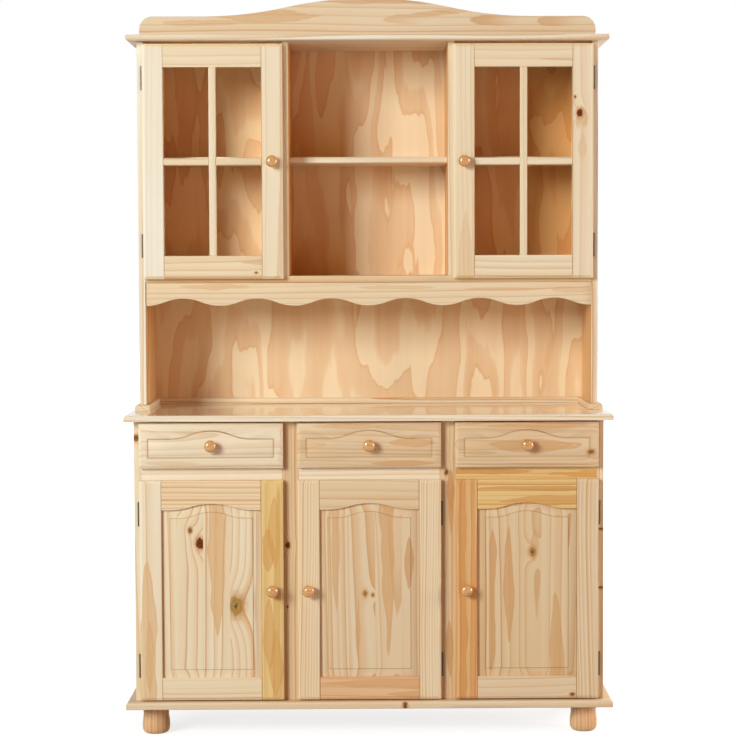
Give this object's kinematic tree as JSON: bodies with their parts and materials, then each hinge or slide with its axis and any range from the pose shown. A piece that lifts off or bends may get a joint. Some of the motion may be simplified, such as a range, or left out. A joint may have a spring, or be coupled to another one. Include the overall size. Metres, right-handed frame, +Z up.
{
  "type": "welsh dresser",
  "caption": "Pine welsh dresser: panelled cupboard and drawer base on turned feet, under a hutch with glazed doors, open shelves, a scalloped valance and an arched crown.",
  "frame": {"origin": "on the floor, under the middle of the outline including the knobs", "axes": "+X to the dresser's right as seen from the front, +Y to the wall behind it, +Z up"},
  "size_m": [1.322, 0.448, 2.0079],
  "materials": {
    "pine": "satin lacquer",
    "plywood": "satin lacquer",
    "clear_glass": "gloss",
    "hinge_metal": "antique satin",
    "catch_plastic": "matte"
  },
  "bodies": {
    "carcass": {"feet": "pine", "plinth": "pine", "base_side_left": "pine", "base_side_right": "pine", "base_divider_left": "pine", "base_divider_right": "pine", "base_stiles": "pine", "drawer_rails": "pine", "drawer_runners": "pine", "base_shelves": "pine", "shelf_cleats": "pine", "base_back": "plywood", "worktop": "pine", "hutch_skirting": "pine", "hutch_side_left": "pine", "hutch_side_right": "pine", "hutch_divider_left": "pine", "hutch_divider_right": "pine", "hutch_floor": "pine", "hutch_shelves": "pine", "hutch_back": "plywood", "cornice": "pine", "crown": "pine", "valance": "pine", "hinge_frame_leaves": "hinge_metal", "hinge_pins": "hinge_metal", "door_catches": "catch_plastic"},
    "drawer_left": {"drawer_left_front": "pine", "drawer_left_box": "pine", "drawer_left_knob": "pine"},
    "drawer_centre": {"drawer_centre_front": "pine", "drawer_centre_box": "pine", "drawer_centre_knob": "pine"},
    "drawer_right": {"drawer_right_front": "pine", "drawer_right_box": "pine", "drawer_right_knob": "pine"},
    "base_door_left": {"base_door_left_frame": "pine", "base_door_left_panel": "pine", "base_door_left_knob": "pine", "base_door_left_fittings": "hinge_metal"},
    "base_door_centre": {"base_door_centre_frame": "pine", "base_door_centre_panel": "pine", "base_door_centre_knob": "pine", "base_door_centre_fittings": "hinge_metal"},
    "base_door_right": {"base_door_right_frame": "pine", "base_door_right_panel": "pine", "base_door_right_knob": "pine", "base_door_right_fittings": "hinge_metal"},
    "hutch_door_left": {"hutch_door_left_frame": "pine", "hutch_door_left_bars": "pine", "hutch_door_left_glass": "clear_glass", "hutch_door_left_beads": "pine", "hutch_door_left_knob": "pine", "hutch_door_left_fittings": "hinge_metal"},
    "hutch_door_right": {"hutch_door_right_frame": "pine", "hutch_door_right_bars": "pine", "hutch_door_right_glass": "clear_glass", "hutch_door_right_beads": "pine", "hutch_door_right_knob": "pine", "hutch_door_right_fittings": "hinge_metal"}
  },
  "joints": [
    {"name": "drawer_left_slide", "type": "slide", "parent": "carcass", "child": "drawer_left", "axis": [0, -1, 0], "range_m": [0, 0.25]},
    {"name": "drawer_centre_slide", "type": "slide", "parent": "carcass", "child": "drawer_centre", "axis": [0, -1, 0], "range_m": [0, 0.25]},
    {"name": "drawer_right_slide", "type": "slide", "parent": "carcass", "child": "drawer_right", "axis": [0, -1, 0], "range_m": [0, 0.25]},
    {"name": "base_door_left_hinge", "type": "hinge", "parent": "carcass", "child": "base_door_left", "pos_m": [-0.622, -0.179, 0.3985], "axis": [0, 0, -1], "range_deg": [0, 105]},
    {"name": "base_door_centre_hinge", "type": "hinge", "parent": "carcass", "child": "base_door_centre", "pos_m": [0.19667, -0.179, 0.3985], "axis": [0, 0, 1], "range_deg": [0, 105]},
    {"name": "base_door_right_hinge", "type": "hinge", "parent": "carcass", "child": "base_door_right", "pos_m": [0.622, -0.179, 0.3985], "axis": [0, 0, 1], "range_deg": [0, 105]},
    {"name": "hutch_door_left_hinge", "type": "hinge", "parent": "carcass", "child": "hutch_door_left", "pos_m": [-0.622, -0.037, 1.558], "axis": [0, 0, -1], "range_deg": [0, 105]},
    {"name": "hutch_door_right_hinge", "type": "hinge", "parent": "carcass", "child": "hutch_door_right", "pos_m": [0.622, -0.037, 1.558], "axis": [0, 0, 1], "range_deg": [0, 105]}
  ]
}
